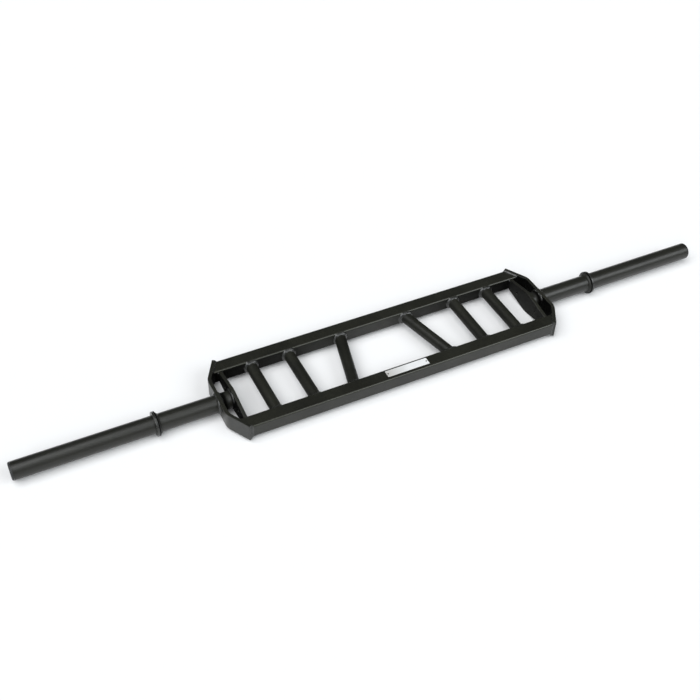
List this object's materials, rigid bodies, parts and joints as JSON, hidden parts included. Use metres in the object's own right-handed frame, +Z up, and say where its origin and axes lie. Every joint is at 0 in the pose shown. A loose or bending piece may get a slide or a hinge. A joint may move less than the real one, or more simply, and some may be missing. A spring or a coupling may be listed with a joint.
{
  "type": "swiss bar",
  "caption": "Welded multi-grip barbell: a flat box-tube frame of neutral and angled handles between two round sleeves with plate collars.",
  "frame": {"origin": "middle of the bar, on the axis of both sleeves, half-way between the rails and half-way up them", "axes": "+X along the bar to the right sleeve's end, +Y across the frame to the far rail, +Z up out of the frame's flat side"},
  "size_m": [2.07, 0.2654, 0.066],
  "materials": {
    "powder_coat": "black powder coat over steel, satin with a fine texture",
    "cap_plastic": "black moulded plastic, matt",
    "label": "pale blank sticker film on the near rail"
  },
  "bodies": {
    "root": {"rail_near": "powder_coat", "rail_far": "powder_coat", "handle_outer_left": "powder_coat", "handle_outer_right": "powder_coat", "handle_middle_left": "powder_coat", "handle_middle_right": "powder_coat", "handle_angled_left": "powder_coat", "handle_angled_right": "powder_coat", "inner_plate_left": "powder_coat", "inner_plate_right": "powder_coat", "spacer_tube_left": "powder_coat", "spacer_tube_right": "powder_coat", "end_plate_left": "powder_coat", "end_plate_right": "powder_coat", "sleeve_left": "powder_coat", "sleeve_right": "powder_coat", "collar_left": "powder_coat", "collar_right": "powder_coat", "end_cap_left": "cap_plastic", "end_cap_right": "cap_plastic", "weld_handle_outer_left_near": "powder_coat", "weld_handle_outer_left_far": "powder_coat", "weld_handle_outer_right_near": "powder_coat", "weld_handle_outer_right_far": "powder_coat", "weld_handle_middle_left_near": "powder_coat", "weld_handle_middle_left_far": "powder_coat", "weld_handle_middle_right_near": "powder_coat", "weld_handle_middle_right_far": "powder_coat", "weld_handle_angled_left_near": "powder_coat", "weld_handle_angled_left_far": "powder_coat", "weld_handle_angled_right_near": "powder_coat", "weld_handle_angled_right_far": "powder_coat", "weld_rail_near_left": "powder_coat", "weld_rail_near_right": "powder_coat", "weld_rail_far_left": "powder_coat", "weld_rail_far_right": "powder_coat", "weld_inner_plate_left_near_inboard": "powder_coat", "weld_inner_plate_left_near_outboard": "powder_coat", "weld_inner_plate_left_far_inboard": "powder_coat", "weld_inner_plate_left_far_outboard": "powder_coat", "weld_inner_plate_right_near_inboard": "powder_coat", "weld_inner_plate_right_near_outboard": "powder_coat", "weld_inner_plate_right_far_inboard": "powder_coat", "weld_inner_plate_right_far_outboard": "powder_coat", "weld_spacer_left_inboard": "powder_coat", "weld_spacer_left_outboard": "powder_coat", "weld_spacer_right_inboard": "powder_coat", "weld_spacer_right_outboard": "powder_coat", "weld_sleeve_left": "powder_coat", "weld_sleeve_right": "powder_coat", "weld_collar_left": "powder_coat", "weld_collar_right": "powder_coat"}
  },
  "joints": []
}
